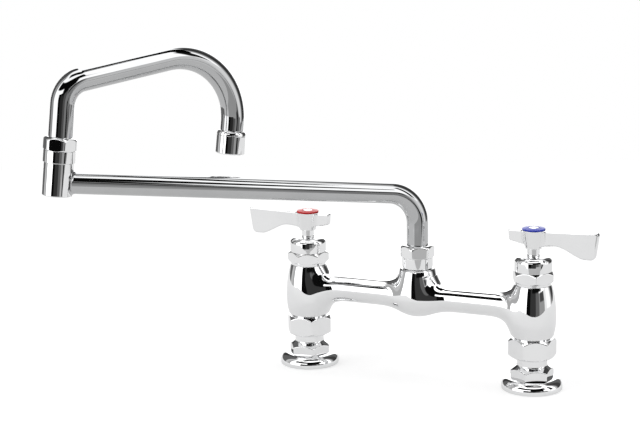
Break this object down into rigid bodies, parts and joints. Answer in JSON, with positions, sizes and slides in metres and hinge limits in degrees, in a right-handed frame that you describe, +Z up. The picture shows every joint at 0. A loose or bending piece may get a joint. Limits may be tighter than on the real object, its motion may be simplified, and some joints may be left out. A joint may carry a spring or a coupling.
{
  "type": "deck-mount faucet",
  "caption": "Chrome bridge faucet for a sink deck: hot and cold quarter-turn blade handles and a double-jointed swinging spout with an aerator.",
  "frame": {"origin": "on the deck, midway between the hot and the cold inlet", "axes": "+X from the hot inlet to the cold inlet, -Y towards the user, +Z up"},
  "size_m": [0.3867, 0.248, 0.2903],
  "materials": {
    "chrome_cast": "polished chrome plate over cast brass",
    "chrome_turned": "bright chrome plate over turned and milled brass",
    "chrome_tube": "bright chrome plate over drawn brass tube",
    "chrome_handle": "soft-edged chrome plate over die-cast zinc",
    "index_red": "glossy red plastic",
    "index_blue": "glossy blue plastic",
    "bare_brass": "bare turned brass",
    "rubber": "black rubber",
    "ceramic": "lapped ceramic",
    "bearing_plastic": "white low-friction plastic",
    "screen_steel": "fine stainless wire screen",
    "aerator_plastic": "pale grey moulded plastic"
  },
  "bodies": {
    "base": {"bridge_body": "chrome_cast", "hot_inlet": "chrome_cast", "hot_union_washer": "rubber", "hot_union_nut": "chrome_turned", "hot_seat_seal": "rubber", "hot_fixed_disc": "ceramic", "hot_cartridge_body": "chrome_turned", "hot_body_oring": "rubber", "hot_bonnet_cap": "chrome_turned", "cold_inlet": "chrome_cast", "cold_union_washer": "rubber", "cold_union_nut": "chrome_turned", "cold_seat_seal": "rubber", "cold_fixed_disc": "ceramic", "cold_cartridge_body": "chrome_turned", "cold_body_oring": "rubber", "cold_bonnet_cap": "chrome_turned", "spout_bearing": "bearing_plastic", "spout_nut": "chrome_turned"},
    "hot_valve": {"hot_moving_disc": "ceramic", "hot_stem": "chrome_turned", "hot_stem_orings": "rubber", "hot_handle": "chrome_handle", "hot_index_ring": "index_red", "hot_handle_screw": "chrome_turned"},
    "cold_valve": {"cold_moving_disc": "ceramic", "cold_stem": "chrome_turned", "cold_stem_orings": "rubber", "cold_handle": "chrome_handle", "cold_index_ring": "index_blue", "cold_handle_screw": "chrome_turned"},
    "lower_spout": {"lower_arm": "chrome_tube", "arm_collar": "bare_brass", "arm_orings": "rubber", "swivel_socket": "chrome_turned", "swivel_bearing": "bearing_plastic", "swivel_nut": "chrome_turned"},
    "upper_spout_body": {"upper_spout": "chrome_tube", "spout_collar": "bare_brass", "spout_orings": "rubber", "outlet_adapter": "chrome_turned", "aerator_washer": "rubber", "aerator_screen": "screen_steel", "aerator_insert": "aerator_plastic", "aerator_housing": "chrome_turned"}
  },
  "joints": [
    {"name": "hot_handle_turn", "type": "hinge", "parent": "base", "child": "hot_valve", "pos_m": [-0.1016, 0, 0.12], "axis": [0, 0, 1], "range_deg": [0, 90]},
    {"name": "cold_handle_turn", "type": "hinge", "parent": "base", "child": "cold_valve", "pos_m": [0.1016, 0, 0.12], "axis": [0, 0, 1], "range_deg": [-90, 0]},
    {"name": "spout_swing", "type": "hinge", "parent": "base", "child": "lower_spout", "pos_m": [0, 0, 0.1], "axis": [0, 0, 1], "continuous": true},
    {"name": "upper_spout_swing", "type": "hinge", "parent": "lower_spout", "child": "upper_spout_body", "pos_m": [-0.21789, -0.21041, 0.19188], "axis": [0.0802, 0.0774, 0.9938], "continuous": true}
  ]
}
